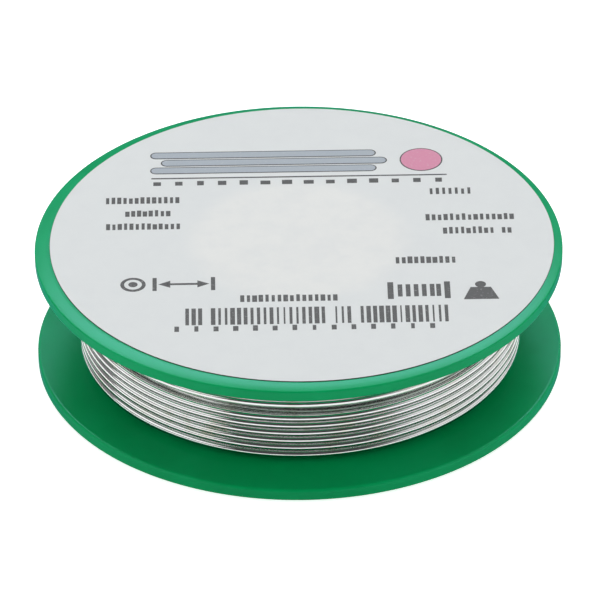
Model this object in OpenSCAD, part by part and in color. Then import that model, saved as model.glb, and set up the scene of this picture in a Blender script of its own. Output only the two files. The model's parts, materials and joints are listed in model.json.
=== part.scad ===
// Small two-piece plastic reel wound with flux-cored solder wire.
// It stands on its lower flange: +Z is up the bore, and the origin is the middle of the bottom face.
// All sizes are in millimetres.

/* [Reel] */
// Diameter of both flanges
flange_d = 63; // [60:1:80]
// Height from the bottom face to the top face
reel_h = 16; // [15:0.5:24]
// Diameter of the open bore
bore_d = 25; // [16:0.5:26]
// Outside diameter of the barrel that the wire is wound on
barrel_d = 29.2; // [29.2:0.1:34]

/* [Flange] */
// Height of the upright edge of each rim
rim_h = 1.4; // [1.2:0.1:2]
// Width of the bevel between the rim and the flat outer face
bevel_w = 1.5; // [0.8:0.1:2.5]
// Drop of that bevel
bevel_h = 0.4; // [0.2:0.05:0.8]
// Mould draft of the inner faces, in degrees
face_draft = 3; // [1:0.5:3.5]
// Radius of the rim's two corners
rim_round = 0.2; // [0.1:0.05:0.35]
// Radius at the root of the barrel
root_round = 0.6; // [0.3:0.1:1]

/* [Snap joint] */
// Number of snap fingers on the spigot
fingers = 4; // [3:1:6]
// Angle that one finger spans, in degrees
finger_span = 30; // [20:2:36]
// Width of the slot beside each finger
finger_slot = 0.8; // [0.5:0.1:1.2]
// Running gap between spigot and socket
lap_gap = 0.05; // [0.03:0.01:0.1]
// How far each finger's barb stands out
barb_reach = 0.35; // [0.2:0.05:0.4]

/* [Solder wire] */
// Diameter of the wire
wire_d = 1.0; // [0.8:0.1:1]
// Diameter over the outer layer of turns
winding_d = 53; // [48:0.5:54]
// Clear gap between the outer layer's turns
turn_gap = 0.42; // [0.41:0.01:0.45]
// Extra gap where the layer has opened up at the front
open_step = 0.45; // [0:0.05:0.6]
// Angle over which that gap opens and closes, in degrees
open_span = 110; // [60:10:160]
// Turns above that gap
turns_over_gap = 4; // [2:1:6]
// Diameter of the flux inside the wire
flux_d = 0.4; // [0.3:0.05:0.5]
// Length of the wire's first end that lies in its groove
first_end_len = 6; // [4:0.5:8]

/* [Label] */
// Bare plastic left between the label and the bevel
label_margin = 0.05; // [0.05:0.05:3]
// Thickness of the paper label
label_t = 0.15; // [0.1:0.01:0.25]

/* [Hidden] */
$fn = 96;
past = 1;                             // how far a cut runs past the face it opens

// Flange
flange_r = flange_d / 2;
bore_r = bore_d / 2;
barrel_r = barrel_d / 2;
face_r = flange_r - bevel_w;          // edge of the flat outer face
flange_edge = bevel_h + rim_h;        // thickness of a flange at its rim
bore_chamfer = 0.4;
arc_steps = 3;                        // straight pieces in each small rounding

// Snap joint: the lower half carries the spigot, the upper half the socket.
lap_r = (bore_r + barrel_r) / 2;      // outside radius of the spigot
shoulder_z = reel_h / 2;              // where the two outer walls seat on each other
socket_z = reel_h - 3.3;              // floor of the socket
spigot_z = socket_z - 0.1;            // top of the spigot, just short of that floor
lead_in = 0.25;                       // chamfer that guides the spigot into the socket
finger_root = 1;                      // height of the slots' lower end above the shoulder
barb_top = spigot_z - 0.5;
barb_low = barb_top - 0.9;
catch_h = 0.25;                       // height of a barb's upright catch
barb_inset = 4;                       // angle from a finger's edge to its barb
barb_root = 0.1;                      // how deep a barb is rooted in its finger
barb_play = 0.1;                      // play round a barb in its groove

// Winding: the outer layer is one tube over a plain core. The tube is thinner than
// the wire, so that each turn stands clear of the next.
winding_r = winding_d / 2;
layer_clear = 0.1;                    // gap from the layer to each flange, and to the core
layer_room = reel_h - 2 * (face_z(winding_r - wire_d / 2) + layer_clear);
last_part = 0.75;                     // share of a turn from where the layer begins to where it ends
outer_turns = floor(layer_room / wire_d - 1 - last_part) + last_part;
tube_d = (layer_room - open_step - outer_turns * turn_gap) / (outer_turns + 1);
tube_r = tube_d / 2;
turn_r = winding_r - tube_r;          // radius of the tube's centreline
turn_step = tube_d + turn_gap;
steps_a_turn = 24;
tube_sides = 6;
chord_dip = turn_r * (1 - cos(180 / steps_a_turn));
core_r = turn_r - tube_r - chord_dip - layer_clear;
last_z = (reel_h - layer_room) / 2 + tube_r;
first_z = last_z + outer_turns * turn_step;
start_angle = 30;                     // where the outer layer begins; its turns run towards smaller angles
front_angle = 270;                    // middle of the open gap
open_turn = turns_over_gap + (start_angle + 180 - front_angle) / 360;
riser_span = 14;                      // angle of the rise that the layer begins from
riser_root = 0.5;                     // how deep that rise is rooted in the core

// Outer end: it leaves the winding along a tangent and dips into its hole.
park_r = (winding_r + flange_r) / 2;
park_d = wire_d + 0.6;
leave_angle = start_angle - 360 * outer_turns;
free_run = sqrt(park_r * park_r - turn_r * turn_r);
dip_r = 0.9;                          // bend radius where it turns down
dip_steps = 5;
end_z = 0.45;                         // the cut end, inside its hole

// First end, called the tail: it comes down a slot beside the barrel and lies in a groove underneath.
tail_angle = 215;
tail_z = wire_d / 2 + 0.1;
tail_bend = 0.9;
tail_w = wire_d + 0.3;                // width of its slot and groove
tail_start = barrel_r + root_round + tail_w / 2 + 0.3;
flux_len = 2;

// Height of a flange's inner face above its outer face, at distance r from the axis.
function face_z(r) = flange_edge + (flange_r - r) * tan(face_draft);

// Points of a round corner about centre c, from angle a to angle b.
function corner(c, r, a, b) =
    [for (i = [0 : arc_steps]) c + r * [cos(a + (b - a) * i / arc_steps), sin(a + (b - a) * i / arc_steps)]];

// Outline of one flange, from the bore's chamfer round the rim to the root of the barrel.
bevel_angle = atan(bevel_h / bevel_w);
rim_in = flange_r - rim_round;
low_corner = [rim_in, bevel_h + rim_round * tan((90 - bevel_angle) / 2)];
high_corner = [rim_in, flange_edge - rim_round * tan((90 - face_draft) / 2)];
root_in = barrel_r + root_round;
root_corner = [root_in, face_z(root_in) + root_round / cos(face_draft)];
flange_outline = concat(
    [[bore_r + bore_chamfer, 0], [face_r, 0]],
    corner(low_corner, rim_round, bevel_angle - 90, 0),
    corner(high_corner, rim_round, 0, 90 - face_draft),
    corner(root_corner, root_round, 270 - face_draft, 180));

// Wall that rises from the lower flange and ends in the spigot.
spigot_outline = [
    [barrel_r, shoulder_z],
    [lap_r, shoulder_z],
    [lap_r, spigot_z - lead_in],
    [lap_r - lead_in, spigot_z],
    [bore_r, spigot_z],
    [bore_r, bore_chamfer]];

// Wall of the upper half, drawn upside down, with the socket and the barbs' groove in it.
function from_top(z) = reel_h - z;
socket_r = lap_r + lap_gap;
barb_groove_r = lap_r + barb_reach + barb_play;
socket_outline = [
    [barrel_r, from_top(shoulder_z)],
    [socket_r + lead_in, from_top(shoulder_z)],
    [socket_r, from_top(shoulder_z) - lead_in],
    [socket_r, from_top(barb_low) + barb_play],
    [barb_groove_r, from_top(barb_low) + barb_play],
    [barb_groove_r, from_top(barb_top) - barb_play],
    [socket_r, from_top(barb_top) - barb_play],
    [socket_r, from_top(socket_z)],
    [bore_r, from_top(socket_z)],
    [bore_r, bore_chamfer]];

// A barb has an upright catch below and a ramp above.
barb_outline = [
    [lap_r - barb_root, barb_low],
    [lap_r + barb_reach, barb_low],
    [lap_r + barb_reach, barb_low + catch_h],
    [lap_r, barb_top],
    [lap_r - barb_root, barb_top]];

module snap_barbs() {
    barb_span = finger_span - 2 * barb_inset;
    for (i = [0 : fingers - 1])
        rotate(i * 360 / fingers - barb_span / 2)
            rotate_extrude(angle = barb_span)
                polygon(barb_outline);
}

module finger_slots() {
    for (i = [0 : fingers - 1], side = [-1, 1])
        rotate(i * 360 / fingers + side * finger_span / 2)
            translate([bore_r - past, -finger_slot / 2, shoulder_z + finger_root])
                cube([lap_r - bore_r + 2 * past, finger_slot, spigot_z - shoulder_z]);
}

// Straight slot along X with round ends.
module round_slot(length, width, height) {
    for (x = [0, length])
        translate([x, 0, 0])
            cylinder(d = width, h = height);
    translate([0, -width / 2, 0])
        cube([length, width, height]);
}

// Slot beside the barrel and groove underneath, for the wire's first end.
module tail_cut() {
    rotate(tail_angle)
        translate([tail_start, 0, -past]) {
            round_slot(tail_bend, tail_w, face_z(tail_start) + 2 * past);
            round_slot(first_end_len + wire_d, tail_w, tail_w + past);
        }
}

module park_hole() {
    rotate(leave_angle - acos(turn_r / park_r))
        translate([park_r, 0, -past])
            cylinder(d = park_d, h = face_z(park_r) + 2 * past);
}

module lower_reel_half() {
    color("seagreen")
        difference() {
            union() {
                rotate_extrude()
                    polygon(concat(flange_outline, spigot_outline));
                snap_barbs();
            }
            finger_slots();
            tail_cut();
            park_hole();
        }
}

module upper_reel_half() {
    color("seagreen")
        translate([0, 0, reel_h])
            mirror([0, 0, 1])
                rotate_extrude()
                    polygon(concat(flange_outline, socket_outline));
}

// The layers under the outermost one, as a plain core between the flanges.
module inner_layers_core() {
    low_in = face_z(barrel_r) + layer_clear;
    low_out = face_z(core_r) + layer_clear;
    rotate_extrude()
        polygon([
            [barrel_r, low_in + root_round],
            [barrel_r + root_round, low_in],
            [core_r, low_out],
            [core_r, reel_h - low_out],
            [barrel_r + root_round, reel_h - low_in],
            [barrel_r, reel_h - low_in - root_round]]);
}

// Short rise where the wire climbs from the layer below into the outer layer.
module layer_riser() {
    rotate(start_angle)
        rotate_extrude(angle = riser_span)
            translate([core_r - riser_root, first_z - tube_r])
                square([winding_r - core_r + riser_root, tube_d]);
}

// Rod along the flux, from its inner end out towards the wire's cut end.
module flux_rod(length) {
    translate([tail_start + first_end_len - flux_len, 0, tail_z])
        rotate([0, 90, 0])
            cylinder(d = flux_d, h = length);
}

// The wire's first end, bored for its flux.
module tail() {
    rotate(tail_angle)
        difference() {
            union() {
                translate([tail_start, 0, tail_z + tail_bend])
                    cylinder(d = wire_d, h = face_z(tail_start) + past - tail_z - tail_bend);
                translate([tail_start + tail_bend, 0, tail_z + tail_bend])
                    rotate([-90, 0, 0])
                        rotate([0, 0, 90])
                            rotate_extrude(angle = 90)
                                translate([tail_bend, 0])
                                    circle(d = wire_d);
                translate([tail_start + tail_bend, 0, tail_z])
                    rotate([0, 90, 0])
                        cylinder(d = wire_d, h = first_end_len - tail_bend);
            }
            flux_rod(flux_len + past);
        }
}

module solder_inner_layers() {
    color("silver") {
        inner_layers_core();
        layer_riser();
        tail();
    }
}

module flux_core() {
    color("goldenrod")
        rotate(tail_angle)
            flux_rod(flux_len);
}

// The turns above the open gap are lifted in a smooth hump about the front.
function from_front(a) = acos(cos(a - front_angle));
function lift(a) = from_front(a) < open_span / 2
    ? open_step * (1 + cos(360 * from_front(a) / open_span)) / 2
    : 0;

// Path of the outer layer. Each entry is [centre, tangent, outward direction].
function outward(a) = [cos(a), sin(a), 0];
function along(a) = [sin(a), -cos(a), 0];
function turn_angle(n) = start_angle - 360 * n;
function turn_z(n) = first_z - turn_step * n + (n < open_turn ? lift(turn_angle(n)) : 0);
function turn_point(n) =
    let (a = turn_angle(n))
    [turn_r * outward(a) + [0, 0, turn_z(n)], along(a), outward(a)];

down = [0, 0, -1];
leave_out = outward(leave_angle);
leave_along = along(leave_angle);
leave_from = turn_r * leave_out + [0, 0, last_z];
dip_from = leave_from + (free_run - dip_r) * leave_along;

layer_path = concat(
    [turn_point(0)],
    [turn_point(0) + [tube_d * along(start_angle), [0, 0, 0], [0, 0, 0]]],
    [for (i = [1 : outer_turns * steps_a_turn]) turn_point(i / steps_a_turn)],
    [for (i = [0 : dip_steps])
        let (b = 90 * i / dip_steps)
        [dip_from + dip_r * (sin(b) * leave_along + (1 - cos(b)) * down),
         cos(b) * leave_along + sin(b) * down,
         leave_out]],
    [[leave_from + free_run * leave_along + (last_z - end_z) * down, down, leave_out]]);

// Ring of points round one entry of the path.
function ring(entry) =
    let (side = cross(entry[1], entry[2]))
    [for (k = [0 : tube_sides - 1])
        entry[0] + tube_r * (cos(360 * k / tube_sides) * entry[2] + sin(360 * k / tube_sides) * side)];

// Least gap between the surfaces of two turns, measured on the path's points.
function least_gap(path) =
    min([for (i = [0 : len(path) - 1], j = [i + steps_a_turn / 2 : 1 : len(path) - 1])
        norm(path[i][0] - path[j][0])]) - tube_d;

module swept_tube(path) {
    n = tube_sides;
    last = (len(path) - 1) * n;
    points = [for (entry = path) each ring(entry)];
    walls = [for (i = [0 : len(path) - 2], k = [0 : n - 1])
        let (a = i * n + k, b = i * n + (k + 1) % n)
        each [[a, a + n, b], [b, a + n, b + n]]];
    first_cap = [for (k = [1 : n - 2]) [0, k, k + 1]];
    last_cap = [for (k = [1 : n - 2]) [last, last + k + 1, last + k]];
    polyhedron(points, concat(walls, first_cap, last_cap));
}

module solder_outer_layer() {
    echo(least_gap_between_turns = least_gap(layer_path));
    color("gainsboro")
        swept_tube(layer_path);
}

module face_label() {
    color("whitesmoke")
        translate([0, 0, reel_h])
            cylinder(r = face_r - label_margin, h = label_t);
}

lower_reel_half();
upper_reel_half();
solder_inner_layers();
solder_outer_layer();
flux_core();
face_label();
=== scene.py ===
"""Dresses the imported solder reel.

It makes the moulded reel halves, the drawn solder wire, the printed paper label and a white studio.
"""

import json
import math

import bmesh
import bpy
from mathutils import Matrix, Vector, noise


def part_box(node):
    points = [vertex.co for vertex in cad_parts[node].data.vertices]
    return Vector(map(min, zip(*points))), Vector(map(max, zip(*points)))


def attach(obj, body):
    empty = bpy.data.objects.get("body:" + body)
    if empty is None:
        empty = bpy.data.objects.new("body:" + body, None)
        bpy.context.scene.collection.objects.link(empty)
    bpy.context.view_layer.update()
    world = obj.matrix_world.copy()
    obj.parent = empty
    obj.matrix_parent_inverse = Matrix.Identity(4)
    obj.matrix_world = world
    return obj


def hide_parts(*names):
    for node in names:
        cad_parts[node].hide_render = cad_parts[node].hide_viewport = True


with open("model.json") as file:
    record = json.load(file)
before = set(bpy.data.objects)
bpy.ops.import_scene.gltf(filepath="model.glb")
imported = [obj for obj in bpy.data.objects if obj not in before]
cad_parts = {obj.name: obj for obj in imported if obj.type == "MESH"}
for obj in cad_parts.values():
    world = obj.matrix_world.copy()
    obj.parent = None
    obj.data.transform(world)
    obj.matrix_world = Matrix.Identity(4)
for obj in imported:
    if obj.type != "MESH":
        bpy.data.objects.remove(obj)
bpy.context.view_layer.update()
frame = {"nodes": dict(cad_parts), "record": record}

MM = 0.001
BODY = "root"

# ---------------------------------------------------------------- sizes, in metres

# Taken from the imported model
FLANGE_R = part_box("upper_reel_half")[1].x
REEL_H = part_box("upper_reel_half")[1].z
SPIGOT_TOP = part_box("lower_reel_half")[1].z
LABEL_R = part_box("face_label")[1].x
LABEL_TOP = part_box("face_label")[1].z
WINDING_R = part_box("solder_outer_layer")[1].x
BORE_R = next(m for m in frame["record"]["mounts"] if m["name"] == "spindle_bore")["dims"]["r_mm"] * MM

# Reel halves
BEVEL_W = 1.5 * MM
BEVEL_H = 0.4 * MM
BEVEL_CROWN = 0.06 * MM  # how far a bevel's middle stands proud of a straight slope
BEVEL_ROUND = 6.0 * MM
RIM_H = 1.4 * MM
DRAFT = math.tan(math.radians(3))
BARREL_R = 14.6 * MM
ROOT_ROUND = 0.6 * MM
BORE_CHAMFER = 0.4 * MM
RIM_ROUND = 0.2 * MM
RIM_INNER_ROUND = 0.35 * MM
EDGE_ROUND = 0.06 * MM
LAP_R = (BORE_R + BARREL_R) / 2
LAP_GAP = 0.05 * MM
LEAD_IN = 0.25 * MM
BARB_ROOT = 0.1 * MM
BARB_REACH = 0.35 * MM
BARB_CATCH = 0.25 * MM
BARB_TOP = SPIGOT_TOP - 0.5 * MM
BARB_LOW = BARB_TOP - 0.9 * MM
BARB_SPAN = math.radians(22)
BARB_PLAY = 0.1 * MM
SOCKET_FLOOR = SPIGOT_TOP + 0.1 * MM
SHOULDER_Z = REEL_H / 2
FINGERS = 4
FINGER_SPAN = math.radians(30)
FINGER_SLOT = 0.8 * MM
FINGER_ROOT = 1.0 * MM
REVOLVE_STEPS = 192
ARC_STEPS = 5
ARC_SUPPORT = 0.05 * MM
MERGE_DIST = 0.0005 * MM
SHARP_ANGLE = math.radians(38)
PRINT_SHARP_ANGLE = math.radians(30)

# Solder wire
WIRE_R = 0.49 * MM
TURN_STEP = 1.0 * MM
TURN_R = WINDING_R - TURN_STEP / 2
TURNS = 9.75
START_ANGLE = math.radians(30)
FIRST_Z = 12.66 * MM
OPEN_ANGLE = math.radians(274)
OPEN_SPAN = math.radians(250)
OPEN_LIFT = 0.92 * MM
TURNS_OVER_GAP = 4
CLIMB_SPAN = math.radians(50)
CLIMB_ANGLE = START_ANGLE + CLIMB_SPAN
LOWER_LAYER_R = TURN_R - 2 * WIRE_R
LOWER_FRONT_Z = 8.42 * MM
LOWER_TOP_Z = LOWER_FRONT_Z + (4 + (math.radians(270) - CLIMB_ANGLE) / (2 * math.pi)) * TURN_STEP
CORE_R = LOWER_LAYER_R - 0.55 * MM
CORE_GAP = 0.1 * MM
CORE_ROUND = 0.3 * MM
SLACK_STEP = 0.02 * MM
WINDING_LEAN = Matrix.Translation((0.08 * MM, 0, 0)) @ Matrix.Rotation(math.radians(0.17), 4, "Y")
STEPS_A_TURN = 180
CLIMB_STEPS = 16
RUN_STEPS = 6
BEND_STEPS = 8
WIRE_SIDES = 24
WAVINESS = 0.05 * MM
WAVE_SCALE = 0.09 / MM

# Where the outer wire hangs over the open gap, in metres along it, with no painted shade on its flank
OVER_GAP_FROM = 0.500
OVER_GAP_TO = 0.630
OVER_GAP_FADE = 0.012

# How strong the painted shade on the turns' lower flank is, near the middle plane and out to both sides
FLANK_SHADE_NEAR_X = 12.0
FLANK_SHADE_FAR_X = 22.0
FLANK_SHADE_NEAR = 0.75
FLANK_SHADE_FAR = 0.97

# The wire's outer end in its hole, and its first end in its groove
PARK_R = 29.0 * MM
PARK_D = 1.6 * MM
PARK_ANGLE = math.radians(94.48)
DIP_R = 0.9 * MM
OUTER_END_Z = 0.45 * MM
TAIL_ANGLE = math.radians(215)
TAIL_R = 16.15 * MM
TAIL_Z = 0.6 * MM
TAIL_BEND = 0.9 * MM
TAIL_RISE = 1.0 * MM
TAIL_STEPS = 4
TAIL_LEN = 6.0 * MM
TAIL_W = 1.3 * MM
FLUX_R = 0.2 * MM
FLUX_LEN = 0.5 * MM
FLUX_PROUD = 0.03 * MM

# Label
INK = 0.012 * MM
PAPER_TOP = LABEL_TOP - 2 * INK
PAPER_R = LABEL_R + 0.13 * MM
PAPER_SHIFT = Vector((0.39 * MM, 0.07 * MM, 0))
PAPER_EDGE = 0.03 * MM
PAPER_RINGS = 60
PAPER_BACK_INSETS = (0.0, 0.4 * MM, 0.9 * MM)
PAPER_SAG = 0.05 * MM
PAPER_RIPPLE = 0.012 * MM
RIPPLE_SIZE = 9 * MM
RIPPLE_FADE = 4 * MM

# Camera: the frame is square, and the reel's axis leans a little in it
IMAGE_SIDE = 600
FOCAL_PX = 6299
SENSOR = 36.0
CAMERA_FAR = 24 * FLANGE_R
ELEVATION = math.radians(33.28)
ROLL = math.radians(-0.5)
AIM = Vector((0.11 * MM, 0, 7.645 * MM))

# Floor, and how much it glows to the camera and in reflections
FLOOR_SIDE = 3.0
FLOOR_Z = -0.02 * MM
FLOOR_GLOW_SEEN = 0.75
FLOOR_GLOW_MIRRORED = 0.26


def on_drum(r, angle, z):
    """The point at distance r and an angle round the axis, at height z."""
    return Vector((r * math.cos(angle), r * math.sin(angle), z))


def face_z(r):
    """Height of a flange's inner face over its outer face, at distance r from the axis."""
    return BEVEL_H + RIM_H + (FLANGE_R - r) * DRAFT


# ---------------------------------------------------------------- node building


class Socket:
    """One output of a node, which Python's operators can work on."""

    def __init__(self, tree, link):
        self.tree = tree
        self.link = link

    def __add__(self, other):
        return self.tree.math("ADD", self, other)

    def __sub__(self, other):
        return self.tree.math("SUBTRACT", self, other)

    def __mul__(self, other):
        return self.tree.math("MULTIPLY", self, other)

    def __radd__(self, other):
        return self.tree.math("ADD", other, self)

    def __rsub__(self, other):
        return self.tree.math("SUBTRACT", other, self)

    def __rmul__(self, other):
        return self.tree.math("MULTIPLY", other, self)


class Tree:
    """Adds nodes to a shader or geometry tree."""

    def __init__(self, node_tree):
        self.node_tree = node_tree

    def node(self, kind, settings=None, inputs=None, output=0):
        """Adds a node, sets its settings, fills its sockets by name or place, and returns one output."""
        made = self.node_tree.nodes.new(kind)
        for name, value in (settings or {}).items():
            setattr(made, name, value)
        for key, value in (inputs or {}).items():
            if isinstance(value, Socket):
                self.node_tree.links.new(value.link, made.inputs[key])
            else:
                made.inputs[key].default_value = value
        return Socket(self, made.outputs[output]) if made.outputs else made

    def math(self, operation, *values):
        return self.node("ShaderNodeMath", {"operation": operation}, dict(enumerate(values)))

    def vector(self, operation, *values):
        return self.node("ShaderNodeVectorMath", {"operation": operation}, dict(enumerate(values)))

    def mix(self, share, first, second):
        """Blend of two colours."""
        return self.node("ShaderNodeMix", {"data_type": "RGBA"}, {0: share, 6: first, 7: second}, 2)

    def slope(self, value, low, high, to_low=0.0, to_high=1.0):
        """Smooth step from to_low to to_high while value goes from low to high."""
        return self.node(
            "ShaderNodeMapRange",
            {"interpolation_type": "SMOOTHSTEP"},
            {"Value": value, "From Min": low, "From Max": high, "To Min": to_low, "To Max": to_high},
        )

    def xyz(self, vector):
        """The three parts of a vector."""
        split = self.node("ShaderNodeSeparateXYZ", inputs={0: vector}).link.node
        return [Socket(self, split.outputs[i]) for i in range(3)]

    def from_axis(self, place):
        """Distance of a place from the Z axis."""
        x, y = self.xyz(place)[:2]
        return self.math("SQRT", x * x + y * y)

    def noise(self, place, scale, detail=2.0, roughness=0.5):
        return self.node(
            "ShaderNodeTexNoise",
            inputs={"Vector": place, "Scale": scale, "Detail": detail, "Roughness": roughness},
        )


def colour(red, green, blue):
    """A colour given in screen values from 0 to 255, as the linear colour that shaders take."""
    linear = [((c / 255 + 0.055) / 1.055) ** 2.4 if c > 10 else c / 255 / 12.92 for c in (red, green, blue)]
    return (*linear, 1.0)


def new_material(name):
    """An empty material, its tree and its place on the object in millimetres."""
    material = bpy.data.materials.new(name)
    material.use_nodes = True
    material.node_tree.nodes.clear()
    tree = Tree(material.node_tree)
    place = tree.node("ShaderNodeTexCoord", output="Object")
    return material, tree, tree.vector("MULTIPLY", place, (1 / MM, 1 / MM, 1 / MM))


def finish_material(tree, constants, varying):
    """Closes a material with one principled shader."""
    shader = tree.node("ShaderNodeBsdfPrincipled", inputs={**constants, **varying})
    tree.node("ShaderNodeOutputMaterial", inputs={"Surface": shader})


def bump(tree, height, distance):
    return tree.node("ShaderNodeBump", inputs={"Height": height, "Distance": distance, "Strength": 1.0})


# ---------------------------------------------------------------- finishes

# The moulding's highlights are cool, because its strong green leaves them little red.
# At a glancing angle they are greener.
GLOSS_TINT = (0.28, 0.42, 0.66, 1.0)
EDGE_TINT = (0.14, 0.48, 0.38, 1.0)


def reel_plastic():
    """Glossy moulded green plastic with a faint swirl, mould grain and handling scuffs."""
    material, tree, place = new_material("reel_plastic")
    swirl = tree.noise(place, 0.09, 3.0)
    grain = tree.noise(place, 9.0, 2.0)
    scuff_place = tree.vector("MULTIPLY", place, (0.6, 5.0, 3.0))
    scuffs = tree.slope(tree.noise(scuff_place, 0.9, 4.0, 0.65), 0.62, 0.74)
    base = tree.mix(tree.slope(swirl, 0.35, 0.65), colour(0, 153, 84), colour(0, 160, 90))
    base = tree.mix(scuffs * 0.08, base, colour(70, 170, 130))
    roughness = 0.26 + 0.08 * swirl + 0.14 * scuffs
    normal = bump(tree, grain + scuffs * 0.4, 0.003 * MM)
    finish = {"Roughness": roughness, "Normal": normal}
    body = tree.node(
        "ShaderNodeBsdfPrincipled",
        inputs={"Base Color": base, "Specular IOR Level": 0.0, **finish},
    )
    gloss = tree.node(
        "ShaderNodeBsdfPrincipled",
        inputs={"Base Color": GLOSS_TINT, "Specular Tint": EDGE_TINT, "Metallic": 1.0, **finish},
    )
    share = tree.node("ShaderNodeFresnel", inputs={"IOR": 1.49, "Normal": normal})
    both = tree.node("ShaderNodeMixShader", inputs={0: share, 1: body, 2: gloss})
    tree.node("ShaderNodeOutputMaterial", inputs={"Surface": both})
    return material


def bright_solder():
    """Drawn tin-copper wire, bright with fine lines along it, with painted shade where turns touch and on
    the deeper layer.
    """
    material, tree, place = new_material("bright_solder")
    along = tree.node("ShaderNodeAttribute", {"attribute_name": "along"}, output="Fac")
    around = tree.node("ShaderNodeAttribute", {"attribute_name": "around"}, output="Fac")
    on_wire = tree.node("ShaderNodeCombineXYZ", inputs={0: along * (0.25 / MM), 1: around * 26.0})
    lines = tree.noise(on_wire, 1.0, 3.0, 0.6)
    tarnish = tree.slope(tree.noise(place, 0.30, 3.0), 0.48, 0.72)
    base = tree.mix(tarnish, colour(246, 248, 247), colour(238, 239, 232))
    x = tree.xyz(place)[0]
    downward = 0.0 - tree.xyz(tree.node("ShaderNodeTexCoord", output="Normal"))[2]
    layer = tree.slope(tree.from_axis(place), LOWER_LAYER_R / MM + 0.50, LOWER_LAYER_R / MM + 0.70)
    past_start = tree.slope(along, OVER_GAP_FROM - OVER_GAP_FADE, OVER_GAP_FROM)
    over_gap = past_start * tree.slope(along, OVER_GAP_TO, OVER_GAP_TO + OVER_GAP_FADE, 1.0, 0.0)
    flank = tree.slope(downward, -0.10, 0.10) * tree.slope(downward, 0.84, 0.92, 1.0, 0.0)
    aside = tree.math("ABSOLUTE", x)
    amount = tree.slope(aside, FLANK_SHADE_NEAR_X, FLANK_SHADE_FAR_X, FLANK_SHADE_NEAR, FLANK_SHADE_FAR)
    # Painted shade on the outer turns' lower flank, where they touch, stronger to the left and right
    flank_shade = flank * layer * (1.0 - over_gap) * amount
    base = tree.mix(flank_shade, base, colour(78, 72, 72))
    # Painted shade on the deeper layer, which lies behind the outer turns
    base = tree.mix((1.0 - layer) * 0.35, base, colour(110, 120, 108))
    roughness = 0.06 + 0.05 * lines + 0.04 * tarnish
    normal = bump(tree, lines, 0.0012 * MM)
    finish_material(
        tree,
        {"Metallic": 1.0},
        {"Base Color": base, "Roughness": roughness, "Normal": normal},
    )
    return material


def rosin_flux():
    """Hard amber rosin."""
    material, tree, place = new_material("rosin_flux")
    cloud = tree.noise(place, 6.0, 2.0)
    base = tree.mix(cloud, colour(176, 116, 30), colour(214, 164, 70))
    finish_material(tree, {"IOR": 1.52}, {"Base Color": base, "Roughness": 0.25 + 0.2 * cloud})
    return material


def label_paper():
    """Matt white paper, a little warmer over the open bore, with painted shade on its cut edge."""
    material, tree, place = new_material("label_paper")
    out = tree.from_axis(place)
    own_out = tree.from_axis(tree.vector("SUBTRACT", place, PAPER_SHIFT / MM))
    mottle = tree.noise(place, 0.35, 4.0, 0.6)
    fibres = tree.noise(tree.vector("MULTIPLY", place, (3.0, 9.0, 1.0)), 1.2, 4.0, 0.7)
    hollow = tree.slope(out, 11.0, 14.5, 1.0, 0.0)
    cut_edge_shade = tree.slope(own_out, PAPER_R / MM - 0.04, PAPER_R / MM - 0.02)
    base = tree.mix(hollow, colour(213, 217, 218), colour(220, 222, 221))
    base = tree.mix(tree.slope(mottle, 0.35, 0.70) * 0.35, base, colour(208, 212, 214))
    base = tree.mix(tree.slope(fibres, 0.62, 0.80) * 0.25, base, colour(196, 199, 200))
    # Painted shade on the paper's cut edge
    base = tree.mix(cut_edge_shade, base, colour(60, 84, 70))
    normal = bump(tree, fibres + mottle * 0.6, 0.010 * MM)
    finish_material(
        tree,
        {"Specular IOR Level": 0.2},
        {"Base Color": base, "Roughness": 0.62 + 0.12 * fibres, "Normal": normal},
    )
    return material


def printing_ink(name, tone):
    """Printing ink, thinner in small specks where the paper's fibres show through."""
    material, tree, place = new_material(name)
    specks = tree.slope(tree.noise(place, 3.2, 3.0, 0.7), 0.55, 0.78)
    base = tree.mix(specks * 0.35, tone, colour(200, 203, 204))
    finish_material(
        tree,
        {"Specular IOR Level": 0.3},
        {"Base Color": base, "Roughness": 0.5 + 0.2 * specks},
    )
    return material


def white_floor():
    """Matt white floor, white to the camera and dimmer in reflections, which keeps the reel's shadow.

    It is clear from below, and to the face that rests on it, so that the reel's underside can be seen.
    """
    material, tree = new_material("white_floor")[:2]
    to_camera = tree.node("ShaderNodeLightPath", output="Is Camera Ray")
    to_gloss = tree.node("ShaderNodeLightPath", output="Is Glossy Ray")
    to_glass = tree.node("ShaderNodeLightPath", output="Is Transmission Ray")
    diffuse = tree.node("ShaderNodeBsdfDiffuse", inputs={"Color": (0.80, 0.80, 0.80, 1)})
    mirrored = to_gloss * FLOOR_GLOW_MIRRORED + to_glass * FLOOR_GLOW_MIRRORED
    strength = to_camera * FLOOR_GLOW_SEEN + mirrored
    glow = tree.node("ShaderNodeEmission", inputs={"Color": (1, 1, 1, 1), "Strength": strength})
    both = tree.node("ShaderNodeAddShader", inputs={0: diffuse, 1: glow})
    from_below = tree.node("ShaderNodeNewGeometry", output="Backfacing")
    length = tree.node("ShaderNodeLightPath", output="Ray Length")
    touching = tree.math("LESS_THAN", length, 2 * BEVEL_H)
    hidden = tree.math("MAXIMUM", from_below, touching)
    clear = tree.node("ShaderNodeBsdfTransparent")
    seen = tree.node("ShaderNodeMixShader", inputs={0: hidden, 1: both, 2: clear})
    tree.node("ShaderNodeOutputMaterial", inputs={"Surface": seen})
    return material


# ---------------------------------------------------------------- geometry trees


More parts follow.
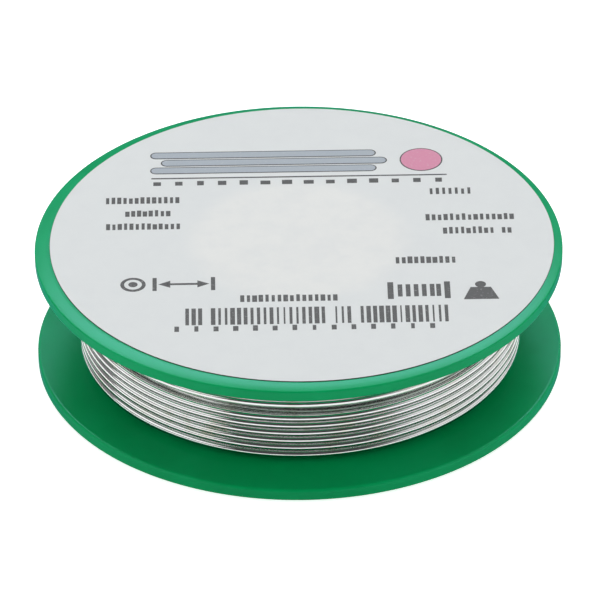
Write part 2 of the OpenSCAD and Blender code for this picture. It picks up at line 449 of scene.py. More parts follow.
def new_geometry_tree(name, sockets):
    """An empty geometry tree with named inputs, given as (name, kind) pairs."""
    node_tree = bpy.data.node_groups.new(name, "GeometryNodeTree")
    for socket_name, kind in sockets:
        node_tree.interface.new_socket(name=socket_name, in_out="INPUT", socket_type=kind)
    node_tree.interface.new_socket(name="Geometry", in_out="OUTPUT", socket_type="NodeSocketGeometry")
    tree = Tree(node_tree)
    entry = node_tree.nodes.new("NodeGroupInput")
    return tree, {s_name: Socket(tree, entry.outputs[s_name]) for s_name, _ in sockets}


def close_geometry_tree(tree, geometry, material):
    """Ends a geometry tree in real faces of one material."""
    real = tree.node("GeometryNodeRealizeInstances", inputs={"Geometry": geometry})
    painted = tree.node("GeometryNodeSetMaterial", inputs={"Geometry": real, "Material": material})
    tree.node("NodeGroupOutput", inputs={"Geometry": painted})
    return tree.node_tree


def drawn_wire_tree():
    """Sweeps a round, slightly wavy wire along a curve and stores where each point lies on it."""
    tree, given = new_geometry_tree(
        "drawn_wire",
        [
            ("Geometry", "NodeSocketGeometry"),
            ("Wire Radius", "NodeSocketFloat"),
            ("Sides", "NodeSocketInt"),
            ("Waviness", "NodeSocketFloat"),
            ("Wave Scale", "NodeSocketFloat"),
            ("Material", "NodeSocketMaterial"),
        ],
    )
    place = tree.node("GeometryNodeInputPosition")
    waves = tree.node(
        "ShaderNodeTexNoise",
        inputs={"Vector": place, "Scale": given["Wave Scale"]},
        output="Color",
    )
    centred = tree.vector("SUBTRACT", waves, (0.5, 0.5, 0.5))
    shift = tree.node(
        "ShaderNodeVectorMath",
        {"operation": "SCALE"},
        {0: centred, "Scale": given["Waviness"]},
    )
    path = tree.node("GeometryNodeSetPosition", inputs={"Geometry": given["Geometry"], "Offset": shift})
    along = tree.node("GeometryNodeSplineParameter", output="Length")
    path = tree.node(
        "GeometryNodeStoreNamedAttribute",
        {"data_type": "FLOAT", "domain": "POINT"},
        {"Geometry": path, "Name": "along", "Value": along},
    )
    ring = tree.node(
        "GeometryNodeCurvePrimitiveCircle",
        inputs={"Resolution": given["Sides"], "Radius": given["Wire Radius"]},
    )
    around = tree.node("GeometryNodeSplineParameter", output="Factor")
    ring = tree.node(
        "GeometryNodeStoreNamedAttribute",
        {"data_type": "FLOAT", "domain": "POINT"},
        {"Geometry": ring, "Name": "around", "Value": around},
    )
    wire = tree.node(
        "GeometryNodeCurveToMesh",
        inputs={"Curve": path, "Profile Curve": ring, "Fill Caps": True},
    )
    return close_geometry_tree(tree, wire, given["Material"])


def print_row_tree():
    """Printed strokes along X on one base line, each of its own width and height, with some left out."""
    tree, given = new_geometry_tree(
        "print_row",
        [
            ("Cells", "NodeSocketInt"),
            ("Pitch", "NodeSocketFloat"),
            ("Height", "NodeSocketFloat"),
            ("Least Fill", "NodeSocketFloat"),
            ("Most Fill", "NodeSocketFloat"),
            ("Least Height", "NodeSocketFloat"),
            ("Kept", "NodeSocketFloat"),
            ("Ink", "NodeSocketFloat"),
            ("Seed", "NodeSocketInt"),
            ("Material", "NodeSocketMaterial"),
        ],
    )
    step = tree.node("ShaderNodeCombineXYZ", inputs={0: given["Pitch"]})
    cells = tree.node("GeometryNodeMeshLine", inputs={"Count": given["Cells"], "Offset": step})
    fill = tree.node(
        "FunctionNodeRandomValue",
        {"data_type": "FLOAT"},
        {2: given["Least Fill"], 3: given["Most Fill"], "Seed": given["Seed"]},
        1,
    )
    tall = tree.node(
        "FunctionNodeRandomValue",
        {"data_type": "FLOAT"},
        {2: given["Least Height"], 3: 1.0, "Seed": given["Seed"] + 100.0},
        1,
    )
    kept = tree.node(
        "FunctionNodeRandomValue",
        {"data_type": "BOOLEAN"},
        {"Probability": given["Kept"], "Seed": given["Seed"] + 200.0},
        3,
    )
    size = tree.node(
        "ShaderNodeCombineXYZ",
        inputs={0: given["Pitch"] * fill, 1: given["Height"] * tall, 2: given["Ink"]},
    )
    block = tree.node("GeometryNodeMeshCube", inputs={"Size": (1, 1, 1)})
    block = tree.node("GeometryNodeTransform", inputs={"Geometry": block, "Translation": (0, 0.5, 0)})
    row = tree.node(
        "GeometryNodeInstanceOnPoints",
        inputs={"Points": cells, "Selection": kept, "Instance": block, "Scale": size},
    )
    return close_geometry_tree(tree, row, given["Material"])


def grow(base, tree, values):
    """Runs a geometry tree on an object's data and returns the plain mesh that it makes."""
    holder = bpy.data.objects.new("holder", base)
    bpy.context.scene.collection.objects.link(holder)
    modifier = holder.modifiers.new("tree", "NODES")
    modifier.node_group = tree
    for item in tree.interface.items_tree:
        if item.in_out == "INPUT" and item.name in values:
            modifier[item.identifier] = values[item.name]
    bpy.context.view_layer.update()
    evaluated = holder.evaluated_get(bpy.context.evaluated_depsgraph_get())
    mesh = bpy.data.meshes.new_from_object(evaluated)
    bpy.data.objects.remove(holder)
    return mesh


# ---------------------------------------------------------------- mesh building


def rounded(corners):
    """Outline of a closed polygon whose corners, each (r, z, radius), are turned into arcs.

    Long edges get a point beside each arc, so that their shading stays flat.
    """
    outline = []
    count = len(corners)
    for i, (r, z, radius) in enumerate(corners):
        here = Vector((r, z))
        before = Vector(corners[i - 1][:2]) - here
        after = Vector(corners[(i + 1) % count][:2]) - here
        half = before.angle(after) / 2
        reach = radius / math.tan(half)
        u = before.normalized()
        v = after.normalized()
        if before.length > 6 * ARC_SUPPORT + reach:
            outline.append(here + u * (reach + ARC_SUPPORT))
        if radius:
            centre = here + (u + v).normalized() * (radius / math.sin(half))
            start = here + u * reach - centre
            turn = start.angle_signed(here + v * reach - centre) / ARC_STEPS
            outline += [centre + Matrix.Rotation(-turn * k, 2) @ start for k in range(ARC_STEPS + 1)]
        else:
            outline.append(here)
        if after.length > 6 * ARC_SUPPORT + reach:
            outline.append(here + v * (reach + ARC_SUPPORT))
    return outline


def revolve(name, outline):
    """Closed ring swept by a closed outline of (r, z) points round the Z axis."""
    count = len(outline)
    points = []
    for j in range(REVOLVE_STEPS):
        a = 2 * math.pi * j / REVOLVE_STEPS
        points += [(p[0] * math.cos(a), p[0] * math.sin(a), p[1]) for p in outline]
    faces = []
    for j in range(REVOLVE_STEPS):
        k = (j + 1) % REVOLVE_STEPS
        for i in range(count):
            n = (i + 1) % count
            faces.append((j * count + i, k * count + i, k * count + n, j * count + n))
    return outward_mesh(name, points, faces)


def outward_mesh(name, points, faces):
    """A mesh with doubles merged and its faces pointing outwards."""
    mesh = bpy.data.meshes.new(name)
    mesh.from_pydata(points, [], faces)
    cleaned = bmesh.new()
    cleaned.from_mesh(mesh)
    bmesh.ops.remove_doubles(cleaned, verts=cleaned.verts, dist=MERGE_DIST)
    bmesh.ops.recalc_face_normals(cleaned, faces=cleaned.faces)
    cleaned.to_mesh(mesh)
    cleaned.free()
    return mesh


def prism(name, outline, low, high):
    """Upright prism on a flat outline of (x, y) points."""
    count = len(outline)
    points = [(x, y, z) for z in (low, high) for x, y in outline]
    sides = [(i, (i + 1) % count, count + (i + 1) % count, count + i) for i in range(count)]
    caps = [tuple(range(count)), tuple(range(count, 2 * count))]
    return outward_mesh(name, points, sides + caps)


def slot_outline(length, width, steps=12):
    """Slot from (0, 0) along X with round ends."""
    outline = []
    for x, start in ((length, -math.pi / 2), (0.0, math.pi / 2)):
        for k in range(steps + 1):
            a = start + math.pi * k / steps
            outline.append((x + width / 2 * math.cos(a), width / 2 * math.sin(a)))
    return outline


def joined(name, meshes):
    """One mesh from several, with their materials kept apart."""
    materials = []
    result = bmesh.new()
    for mesh in meshes:
        first = len(result.faces)
        result.from_mesh(mesh)
        result.faces.ensure_lookup_table()
        places = []
        for material in mesh.materials:
            if material not in materials:
                materials.append(material)
            places.append(materials.index(material))
        if places:
            for face in result.faces[first:]:
                face.material_index = places[min(face.material_index, len(places) - 1)]
    whole = bpy.data.meshes.new(name)
    result.to_mesh(whole)
    result.free()
    for material in materials:
        whole.materials.append(material)
    return whole


def add_piece(name, mesh, nodes=(), material=None, sharp=SHARP_ANGLE):
    """A finished piece of the object, with its material, its body and the nodes that it stands for."""
    if material:
        mesh.materials.clear()
        mesh.materials.append(material)
    mesh.shade_smooth()
    mesh.set_sharp_from_angle(angle=sharp)
    piece = bpy.data.objects.new(name, mesh)
    bpy.context.scene.collection.objects.link(piece)
    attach(piece, BODY)
    if nodes:
        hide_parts(*nodes)


def cut_away(mesh, cutters):
    """The mesh with each cutter's shape taken out of it."""
    work = bpy.data.objects.new("work", mesh)
    tool = bpy.data.objects.new("tool", joined("tool", cutters))
    for item in (work, tool):
        bpy.context.scene.collection.objects.link(item)
    cut = work.modifiers.new("cut", "BOOLEAN")
    cut.operation = "DIFFERENCE"
    cut.solver = "EXACT"
    cut.use_self = True
    cut.object = tool
    bpy.context.view_layer.update()
    result = bpy.data.meshes.new_from_object(work.evaluated_get(bpy.context.evaluated_depsgraph_get()))
    for item in (work, tool):
        bpy.data.objects.remove(item)
    return result


# ---------------------------------------------------------------- reel halves


def flange_corners():
    """The flange's outline, from the bore round the rim to the root of the barrel."""
    return [
        (BORE_R, BORE_CHAMFER, EDGE_ROUND),
        (BORE_R + BORE_CHAMFER, 0, EDGE_ROUND),
        (FLANGE_R - BEVEL_W, 0, 4 * EDGE_ROUND),
        (FLANGE_R - BEVEL_W / 2, BEVEL_H / 2 - BEVEL_CROWN, BEVEL_ROUND),
        (FLANGE_R, BEVEL_H, RIM_ROUND),
        (FLANGE_R, BEVEL_H + RIM_H, RIM_INNER_ROUND),
        (BARREL_R, face_z(BARREL_R), ROOT_ROUND),
    ]


def spigot_corners():
    """The lower half's wall: full up to the shoulder, then the thin spigot."""
    return [
        (BARREL_R, SHOULDER_Z, EDGE_ROUND),
        (LAP_R, SHOULDER_Z, 0),
        (LAP_R, SPIGOT_TOP - LEAD_IN, EDGE_ROUND),
        (LAP_R - LEAD_IN, SPIGOT_TOP, EDGE_ROUND),
        (BORE_R, SPIGOT_TOP, EDGE_ROUND),
    ]


def socket_corners():
    """The upper half's wall, upside down: the socket takes the spigot and its groove takes the barbs."""
    socket_r = LAP_R + LAP_GAP
    groove_r = LAP_R + BARB_REACH + BARB_PLAY
    return [
        (BARREL_R, REEL_H - SHOULDER_Z, EDGE_ROUND),
        (socket_r + LEAD_IN, REEL_H - SHOULDER_Z, 0),
        (socket_r, REEL_H - SHOULDER_Z - LEAD_IN, 0),
        (socket_r, REEL_H - BARB_LOW + BARB_PLAY, 0),
        (groove_r, REEL_H - BARB_LOW + BARB_PLAY, 0),
        (groove_r, REEL_H - BARB_TOP - BARB_PLAY, 0),
        (socket_r, REEL_H - BARB_TOP - BARB_PLAY, 0),
        (socket_r, REEL_H - SOCKET_FLOOR, 0),
        (BORE_R, REEL_H - SOCKET_FLOOR, EDGE_ROUND),
    ]


def snap_barb(angle):
    """One finger's barb, with an upright catch below and a ramp above, centred on an angle."""
    outline = [
        (LAP_R - BARB_ROOT, BARB_LOW),
        (LAP_R + BARB_REACH, BARB_LOW),
        (LAP_R + BARB_REACH, BARB_LOW + BARB_CATCH),
        (LAP_R, BARB_TOP),
        (LAP_R - BARB_ROOT, BARB_TOP),
    ]
    count = len(outline)
    steps = BEND_STEPS
    spots = [angle + BARB_SPAN * (j / steps - 0.5) for j in range(steps + 1)]
    points = [on_drum(r, a, z) for a in spots for r, z in outline]
    faces = [
        (j * count + i, j * count + (i + 1) % count, (j + 1) * count + (i + 1) % count, (j + 1) * count + i)
        for j in range(steps)
        for i in range(count)
    ]
    faces += [tuple(range(count)), tuple(range(steps * count, (steps + 1) * count))]
    return outward_mesh("barb", points, faces)


def upright_cutter(outline, low, high, x, angle):
    """A prism moved out along X and turned about the axis."""
    cutter = prism("cutter", outline, low, high)
    cutter.transform(Matrix.Rotation(angle, 4, "Z") @ Matrix.Translation((x, 0, 0)))
    return cutter


def lower_half_cutters():
    """Slots beside the snap fingers, the hole for the outer end, the slot and groove for the first end."""
    over = 1 * MM
    top = SPIGOT_TOP + over
    wall = LAP_R - BORE_R + 2 * over
    slot_side = FINGER_SLOT / 2
    slot_shape = [(0, -slot_side), (wall, -slot_side), (wall, slot_side), (0, slot_side)]
    angles = [
        finger * 2 * math.pi / FINGERS + side * FINGER_SPAN / 2
        for finger in range(FINGERS)
        for side in (-1, 1)
    ]
    low = SHOULDER_Z + FINGER_ROOT
    cutters = [upright_cutter(slot_shape, low, top, BORE_R - over, angle) for angle in angles]
    hole = slot_outline(0, PARK_D, 20)[:-1]
    cutters.append(upright_cutter(hole, -over, face_z(PARK_R) + over, PARK_R, PARK_ANGLE))
    slot = slot_outline(TAIL_BEND, TAIL_W)
    cutters.append(upright_cutter(slot, -over, face_z(TAIL_R) + over, TAIL_R, TAIL_ANGLE))
    # Slightly narrower than the slot, so that no two of their walls share one place
    groove = slot_outline(TAIL_LEN + 2 * WIRE_R, TAIL_W * 0.999)
    cutters.append(upright_cutter(groove, -2 * over, TAIL_W, TAIL_R, TAIL_ANGLE))
    return cutters


def make_reel(plastic):
    lower = revolve("lower_reel_half", rounded(flange_corners() + spigot_corners()))
    lower = cut_away(lower, lower_half_cutters())
    barbs = [snap_barb(2 * math.pi * k / FINGERS) for k in range(FINGERS)]
    lower = joined("lower_half_moulding", [lower] + barbs)
    add_piece("lower_half_moulding", lower, ["lower_reel_half"], plastic)

    upper = revolve("upper_reel_half", rounded(flange_corners() + socket_corners()))
    upper.transform(Matrix.Translation((0, 0, REEL_H)) @ Matrix.Scale(-1, 4, (0, 0, 1)))
    upper.flip_normals()
    add_piece("upper_half_moulding", upper, ["upper_reel_half"], plastic)


# ---------------------------------------------------------------- solder wire


def smooth(t):
    t = min(1.0, max(0.0, t))
    return t * t * (3 - 2 * t)


def gap_lift(turn, angle):
    """How far the turns above the open gap ride up round the front."""
    off_centre = abs((angle - OPEN_ANGLE + math.pi) % (2 * math.pi) - math.pi)
    last_lifted = TURNS_OVER_GAP + (START_ANGLE + math.pi - OPEN_ANGLE) / (2 * math.pi)
    if turn > last_lifted or off_centre > OPEN_SPAN / 2:
        return 0.0
    return OPEN_LIFT * (1 + math.cos(2 * math.pi * off_centre / OPEN_SPAN)) / 2


def bend(start, heading, towards, radius):
    """Quarter circle from start, leaving along heading and ending along towards."""
    return [
        start + radius * (math.sin(b) * heading + (1 - math.cos(b)) * towards)
        for b in (math.pi / 2 * k / BEND_STEPS for k in range(1, BEND_STEPS + 1))
    ]


def outer_layer_path():
    """The wire's last layer: up from the one below, down in turns, off along a tangent, into its hole."""
    leave_angle = PARK_ANGLE + math.acos(TURN_R / PARK_R)
    path = []
    for k in range(CLIMB_STEPS):
        t = k / CLIMB_STEPS
        r = LOWER_LAYER_R + (TURN_R - LOWER_LAYER_R) * smooth(t)
        z = LOWER_TOP_Z + (FIRST_Z - LOWER_TOP_Z) * smooth(t)
        path.append(on_drum(r, START_ANGLE + CLIMB_SPAN * (1 - t), z))
    steps = round(TURNS * STEPS_A_TURN)
    for k in range(steps + 1):
        turn = TURNS * k / steps
        angle = START_ANGLE - 2 * math.pi * turn
        slack = SLACK_STEP * max(0.0, turn - TURNS_OVER_GAP)
        path.append(on_drum(TURN_R, angle, FIRST_Z - TURN_STEP * turn - slack + gap_lift(turn, angle)))
    heading = Vector((math.sin(leave_angle), -math.cos(leave_angle), 0))
    down = Vector((0, 0, -1))
    leave = path[-1]
    run = math.sqrt(PARK_R**2 - TURN_R**2) - DIP_R
    path += [leave + heading * run * k / RUN_STEPS for k in range(1, RUN_STEPS + 1)]
    path += bend(leave + heading * run, heading, down, DIP_R)
    path.append(Vector((path[-1].x, path[-1].y, OUTER_END_Z)))
    return path


def lower_layer_path():
    """The layer under the outer one, which climbs the other way and shows in the open gap."""
    low_z = face_z(LOWER_LAYER_R) + TURN_STEP / 2
    turns = (LOWER_TOP_Z - low_z) / TURN_STEP
    steps = round(turns * STEPS_A_TURN)
    path = []
    for k in range(steps + 1):
        turn = turns * (1 - k / steps)
        angle = CLIMB_ANGLE + 2 * math.pi * turn
        path.append(on_drum(LOWER_LAYER_R, angle, LOWER_TOP_Z - TURN_STEP * turn))
    return path


def tail_path():
    """The wire's first end: down its slot, round a bend and out along its groove."""
    out = Vector((math.cos(TAIL_ANGLE), math.sin(TAIL_ANGLE), 0))
    down = Vector((0, 0, -1))
    top = out * TAIL_R + Vector((0, 0, face_z(TAIL_R) + TAIL_RISE))
    turn = out * TAIL_R + Vector((0, 0, TAIL_Z + TAIL_BEND))
    end = out * (TAIL_R + TAIL_LEN - FLUX_PROUD) + Vector((0, 0, TAIL_Z))
    path = [top, (top + turn) / 2, turn] + bend(turn, down, out, TAIL_BEND)
    return path + [path[-1].lerp(end, k / TAIL_STEPS) for k in range(1, TAIL_STEPS + 1)]


def poly_curve(points):
    curve = bpy.data.curves.new("path", "CURVE")
    curve.dimensions = "3D"
    spline = curve.splines.new("POLY")
    spline.points.add(len(points) - 1)
    for point, place in zip(spline.points, points):
        point.co = (*place, 1)
    return curve


def wire_along(path, tree, solder, waviness):
    values = {
        "Wire Radius": WIRE_R,
        "Sides": WIRE_SIDES,
        "Waviness": waviness,
        "Wave Scale": WAVE_SCALE,
        "Material": solder,
    }
    return grow(poly_curve(path), tree, values)


def core_corners():
    """The deeper layers, hidden behind the turns."""
    low_in = face_z(BARREL_R) + CORE_GAP
    low_out = face_z(CORE_R) + CORE_GAP
    return [
        (BARREL_R, low_in + ROOT_ROUND, 0),
        (BARREL_R + ROOT_ROUND, low_in, 0),
        (CORE_R, low_out, CORE_ROUND),
        (CORE_R, REEL_H - low_out, CORE_ROUND),
        (BARREL_R + ROOT_ROUND, REEL_H - low_in, 0),
        (BARREL_R, REEL_H - low_in - ROOT_ROUND, 0),
    ]


def make_winding(solder, flux):
    tree = drawn_wire_tree()
    outer = wire_along(outer_layer_path(), tree, solder, WAVINESS)
    outer.transform(WINDING_LEAN)
    add_piece("outer_turns", outer, ["solder_outer_layer"])

    core = revolve("core", rounded(core_corners()))
    core.materials.append(solder)
    below = wire_along(lower_layer_path(), tree, solder, WAVINESS)
    below.transform(WINDING_LEAN)
    tail = wire_along(tail_path(), tree, solder, 0.0)
    inner = joined("inner_turns", [core, below, tail])
    add_piece("inner_turns", inner, ["solder_inner_layers"])

    low = OUTER_END_Z - FLUX_PROUD
    flux_end = prism("flux_end", slot_outline(0, 2 * FLUX_R, 10), low, OUTER_END_Z + FLUX_LEN)
    flux_end.transform(Matrix.Translation(on_drum(PARK_R, PARK_ANGLE, 0)))
    add_piece("flux_outer_end", flux_end, material=flux)
    first_end = frame["nodes"]["flux_core"]
    first_end.data.materials.clear()
    first_end.data.materials.append(flux)


# ---------------------------------------------------------------- label


def over_bevel(x, y):
    """How far the flange's bevel has fallen away below its outer face."""
    past = math.hypot(x, y) - (FLANGE_R - BEVEL_W)
    return max(0.0, past) * (BEVEL_H - 2 * BEVEL_CROWN) / BEVEL_W


def paper_z(x, y):
    """Height of the label's face, which dips over the bore, ripples slightly and bends onto the bevel."""
    out = math.hypot(x, y)
    dip = PAPER_SAG * smooth((BORE_R - out) / (0.7 * BORE_R))
    ripple = noise.noise(Vector((x, y, 0)) / RIPPLE_SIZE) * smooth((LABEL_R - out) / RIPPLE_FADE)
    return PAPER_TOP - dip - PAPER_RIPPLE * (0.5 + 0.5 * ripple) - over_bevel(x, y)


def paper_ring(r, height):
    """A ring of points of the paper, at a height given as a function of the place."""
    ring = [on_drum(r, 2 * math.pi * j / REVOLVE_STEPS, 0) + PAPER_SHIFT for j in range(REVOLVE_STEPS)]
    return [(p.x, p.y, height(p.x, p.y)) for p in ring]


def make_paper(paper):
    """A thin disc, stuck on off centre: rings of points on its face, a small edge and its underside."""
    rings = PAPER_RINGS
    points = []
    for ring in range(1, rings + 1):
        points += paper_ring((PAPER_R - PAPER_EDGE) * ring / rings, paper_z)
    points += paper_ring(PAPER_R, lambda x, y: PAPER_TOP - PAPER_EDGE - PAPER_RIPPLE - over_bevel(x, y))
    for inset in PAPER_BACK_INSETS:
        points += paper_ring(PAPER_R - inset, lambda x, y: REEL_H - over_bevel(x, y))
    rings += len(PAPER_BACK_INSETS)
    faces = []
    for ring in range(rings):
        for j in range(REVOLVE_STEPS):
            k = (j + 1) % REVOLVE_STEPS
            a = ring * REVOLVE_STEPS
            b = a + REVOLVE_STEPS
            faces.append((a + j, b + j, b + k, a + k))
    centre = len(points)
    points.append((*PAPER_SHIFT.xy, paper_z(*PAPER_SHIFT.xy)))
    faces += [(centre, j, (j + 1) % REVOLVE_STEPS) for j in range(REVOLVE_STEPS)]
    faces.append(tuple(range(rings * REVOLVE_STEPS, (rings + 1) * REVOLVE_STEPS)))
    mesh = outward_mesh("paper_label", points, faces)
    add_piece("paper_label", mesh, ["face_label"], paper)


# Rows of plain printed strokes, sizes in millimetres and the rest as shares:
# left end, base line, strokes, pitch, height, least fill, most fill, least height, strokes kept
PRINT_ROWS = {
    "rule": (-17.6, 14.20, 1, 35.8, 0.26, 1.0, 1.0, 1.0, 1.0),
    "spaced_row": (-18.2, 12.70, 14, 2.62, 1.00, 0.30, 0.48, 0.8, 1.0),
    "left_first": (-23.2, 8.75, 13, 0.70, 1.45, 0.48, 0.78, 0.78, 0.95),
    "left_second": (-20.8, 5.85, 8, 0.70, 1.45, 0.48, 0.78, 0.78, 1.0),
    "left_third": (-23.1, 2.95, 13, 0.70, 1.45, 0.48, 0.78, 0.78, 1.0),
    "right_first": (15.8, 9.90, 7, 0.76, 1.45, 0.34, 0.52, 0.78, 1.0),
    "right_second": (15.2, 4.05, 15, 0.72, 1.45, 0.48, 0.78, 0.78, 0.95),
    "right_third": (17.2, 1.05, 12, 0.70, 1.50, 0.48, 0.78, 0.78, 0.95),
    "right_fourth": (11.3, -5.35, 10, 0.74, 1.50, 0.50, 0.80, 0.84, 1.0),
    "middle_row": (-7.2, -13.15, 16, 0.73, 1.50, 0.50, 0.80, 0.84, 1.0),
    "bars": (-13.7, -17.95, 41, 0.76, 3.55, 0.22, 0.80, 1.0, 0.95),
    "under_bars": (-15.7, -19.30, 14, 2.30, 1.15, 0.16, 0.28, 0.85, 1.0),
}
PRINT_TURN = math.radians(0.7)


def flat_mark(outline, layer, material, x=0.0, y=0.0):
    """A printed shape with a flat top, on the first or a later layer of ink, moved to (x, y)."""
    mark = prism("mark", outline, layer * INK * 0.5, (layer + 1) * INK)
    mark.transform(Matrix.Translation((x, y, 0)))
    mark.materials.append(material)
    return mark


def plain_box(left, low, right, high):
    """Outline of an upright rectangle, given in millimetres."""
    return [(left * MM, low * MM), (right * MM, low * MM), (right * MM, high * MM), (left * MM, high * MM)]


def disc(diameter):
    return slot_outline(0, diameter, 24)[:-1]


def turns_mark(dark, slate, rose):
    """A plain drawing of wire lying in turns, with a round dot at its end."""
    dot_w = 4.9 * MM
    line = 0.16 * MM
    turn_w = 1.20 * MM
    turn_pitch = 1.72 * MM
    left = -17.0 * MM
    length = 26.0 * MM
    low = 16.1 * MM
    marks = []
    for k in range(3):
        x = left + 1.3 * MM * (k % 2)
        marks.append(flat_mark(slot_outline(length, turn_w + 2 * line), 0, dark, x, low + turn_pitch * k))
        marks.append(flat_mark(slot_outline(length, turn_w), 1, slate, x, low + turn_pitch * k))
    dot = (15.2 * MM, low + turn_pitch)
    marks.append(flat_mark(disc(dot_w + 2 * line), 0, dark, *dot))
    marks.append(flat_mark(disc(dot_w), 1, rose, *dot))
    return marks


def section_mark(dark, paper):
    """A wire's round section with a dimension line beside it."""
    x = -19.7 * MM
    y = -9.1 * MM
    rings = ((3.0 * MM, dark), (2.1 * MM, paper), (1.1 * MM, dark))
    marks = [flat_mark(disc(d), layer, ink, x, y) for layer, (d, ink) in enumerate(rings)]
    boxes = [
        plain_box(-17.4, -10.5, -16.9, -7.7),
        plain_box(-10.5, -10.5, -10.0, -7.7),
        plain_box(-15.9, -9.3, -11.5, -8.9),
    ]
    marks += [flat_mark(box, 0, dark) for box in boxes]
    for tip, base in ((-16.7, -15.3), (-10.7, -12.1)):
        head = [(tip * MM, y), (base * MM, y - 0.75 * MM), (base * MM, y + 0.75 * MM)]
        marks.append(flat_mark(head, 0, dark))
    return marks


def reel_mark(dark):
    """A reel seen from the side, and beside it a scale weight."""
    boxes = [plain_box(10.3, -13.0, 11.0, -9.4), plain_box(17.0, -13.0, 17.7, -9.4)]
    boxes += [plain_box(x, -12.5, x + 0.55, -9.9) for x in (11.5, 12.45, 13.4, 14.35, 15.3, 16.05)]
    marks = [flat_mark(box, 0, dark) for box in boxes]
    foot = -13.3 * MM
    top = foot + 2.6 * MM
    weight = [(19.2 * MM, foot), (23.4 * MM, foot), (22.5 * MM, top), (20.1 * MM, top)]
    marks.append(flat_mark(weight, 0, dark))
    marks.append(flat_mark(disc(1.3 * MM), 0, dark, 21.3 * MM, foot + 3.2 * MM))
    return marks


def make_print(dark, slate, rose, paper):
    """Everything printed on the label, laid on the paper's face."""
    tree = print_row_tree()
    marks = turns_mark(dark, slate, rose) + section_mark(dark, paper) + reel_mark(dark)
    for seed, row in enumerate(PRINT_ROWS.values()):
        x, y, strokes, pitch, height, least, most, least_height, kept = row
        values = {
            "Cells": strokes,
            "Pitch": pitch * MM,
            "Height": height * MM,
            "Least Fill": least,
            "Most Fill": most,
            "Least Height": least_height,
            "Kept": kept,
            "Ink": INK,
            "Seed": seed,
            "Material": dark,
        }
        printed_row = grow(bpy.data.meshes.new("row"), tree, values)
        printed_row.transform(Matrix.Translation(((x + pitch / 2) * MM, y * MM, INK / 2)))
        marks.append(printed_row)
    printed = joined("label_print", marks)
    printed.transform(Matrix.Rotation(PRINT_TURN, 4, "Z"))
    for vertex in printed.vertices:
        vertex.co.z += paper_z(vertex.co.x, vertex.co.y)
    add_piece("label_print", printed, sharp=PRINT_SHARP_ANGLE)


# ---------------------------------------------------------------- studio


def make_camera():
    """The camera looks down on the reel from the front, from far away."""
    back = Vector((0, -math.cos(ELEVATION), math.sin(ELEVATION)))
    right = Vector((1, 0, 0))
    up = back.cross(right)
    turned_right = right * math.cos(ROLL) + up * math.sin(ROLL)
    turned_up = up * math.cos(ROLL) - right * math.sin(ROLL)
    data = bpy.data.cameras.new("camera")
    data.sensor_width = SENSOR
    data.lens = FOCAL_PX / IMAGE_SIDE * SENSOR
    camera = bpy.data.objects.new("camera", data)
    turn = Matrix((turned_right, turned_up, back)).transposed().to_4x4()
    camera.matrix_world = Matrix.Translation(AIM + back * CAMERA_FAR) @ turn
    bpy.context.scene.collection.objects.link(camera)
    bpy.context.scene.camera = camera


def add_lamp(name, place, width, height, radiance, mirrored=True, spread=True):
    """A softbox that faces the reel and sends out an even radiance.

    One that isn't mirrored leaves no highlight, and one that doesn't spread leaves nothing else.
    """
    data = bpy.data.lights.new(name, "AREA")
    data.shape = "RECTANGLE"
    data.size = width
    data.size_y = height
    data.energy = radiance * math.pi * width * height
    lamp = bpy.data.objects.new(name, data)
    lamp.location = place
    to_reel = Vector((0, 0, REEL_H / 2)) - Vector(place)
    lamp.rotation_euler = to_reel.to_track_quat("-Z", "Y").to_euler()
    lamp.visible_camera = False
    lamp.visible_glossy = mirrored
    lamp.visible_diffuse = spread
    bpy.context.scene.collection.objects.link(lamp)


def make_lamps():
    add_lamp("top_softbox", (0, 0.22, 0.50), 0.56, 0.34, 2.02, mirrored=False)
    add_lamp("top_panel", (0, 0.306, 0.462), 0.60, 0.29, 6.4, spread=False)
    add_lamp("left_softbox", (-0.53, -0.15, 0.34), 0.72, 0.32, 0.76)
    add_lamp("right_softbox", (0.55, -0.01, 0.28), 0.80, 0.38, 0.34)
    add_lamp("front_fill", (0, -0.45, 0.34), 0.90, 0.40, 0.08, mirrored=False)
    add_lamp("left_fill", (-0.50, -0.25, 0.20), 0.60, 0.30, 2.40, mirrored=False)
    add_lamp("right_fill", (0.50, -0.25, 0.20), 0.60, 0.30, 2.40, mirrored=False)


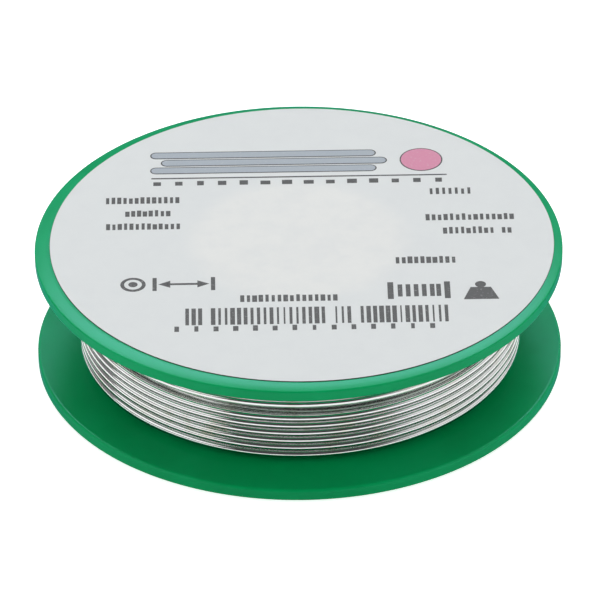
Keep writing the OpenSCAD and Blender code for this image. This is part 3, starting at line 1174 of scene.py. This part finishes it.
def make_floor():
    """A large square just under the reel, so that no two faces share one place."""
    signs = ((-1, -1), (1, -1), (1, 1), (-1, 1))
    corners = [(FLOOR_SIDE * i, FLOOR_SIDE * j, FLOOR_Z) for i, j in signs]
    mesh = bpy.data.meshes.new("floor")
    mesh.from_pydata(corners, [], [(0, 1, 2, 3)])
    mesh.materials.append(white_floor())
    floor = bpy.data.objects.new("floor", mesh)
    bpy.context.scene.collection.objects.link(floor)


def make_world():
    """A white room behind the reel and a dark one in front, with weaker light from the sides and below.

    Low down behind the reel a dim patch is mirrored by its lower flange and label. The camera sees white.
    """
    world = bpy.data.worlds.new("studio")
    world.use_nodes = True
    world.node_tree.nodes.clear()
    tree = Tree(world.node_tree)
    x, y, z = tree.xyz(tree.node("ShaderNodeTexCoord", output="Generated"))
    right_side = tree.slope(x, 0.45, 0.75, 0.0, 0.30)
    left_side = tree.slope(x, -0.75, -0.45, 0.13, 0.0)
    above = tree.slope(z, 0.45, 0.80, 0.0, 0.50) * tree.slope(y, -0.35, 0.05)
    aside = tree.math("ABSOLUTE", x)
    behind = tree.slope(y - 0.6 * aside, 0.05, 0.45) * tree.slope(z, 0.0, 0.6, 0.75, 1.20)
    dim = tree.slope(aside, 0.20, 0.40, 0.85, 0.0) * tree.slope(z, 0.60, 0.72, 1.0, 0.0)
    behind = behind * (1.0 - dim)
    below = tree.slope(z, -0.30, -0.05, 0.55, 0.0)
    beside = tree.math("MAXIMUM", right_side + left_side + below, above)
    seen = tree.node("ShaderNodeLightPath", output="Is Camera Ray")
    strength = (0.06 + tree.math("MAXIMUM", beside, behind)) * (1 - seen) + seen
    background = tree.node("ShaderNodeBackground", inputs={"Color": (1, 1, 1, 1), "Strength": strength})
    tree.node("ShaderNodeOutputWorld", inputs={"Surface": background})
    bpy.context.scene.world = world


# ---------------------------------------------------------------- the whole scene

make_camera()
make_reel(reel_plastic())
make_winding(bright_solder(), rosin_flux())
paper = label_paper()
make_paper(paper)
make_print(
    printing_ink("dark_ink", colour(58, 60, 62)),
    printing_ink("slate_ink", colour(152, 162, 172)),
    printing_ink("rose_ink", colour(198, 124, 154)),
    paper,
)
make_floor()
make_lamps()
make_world()
bpy.context.scene.view_settings.view_transform = "Standard"
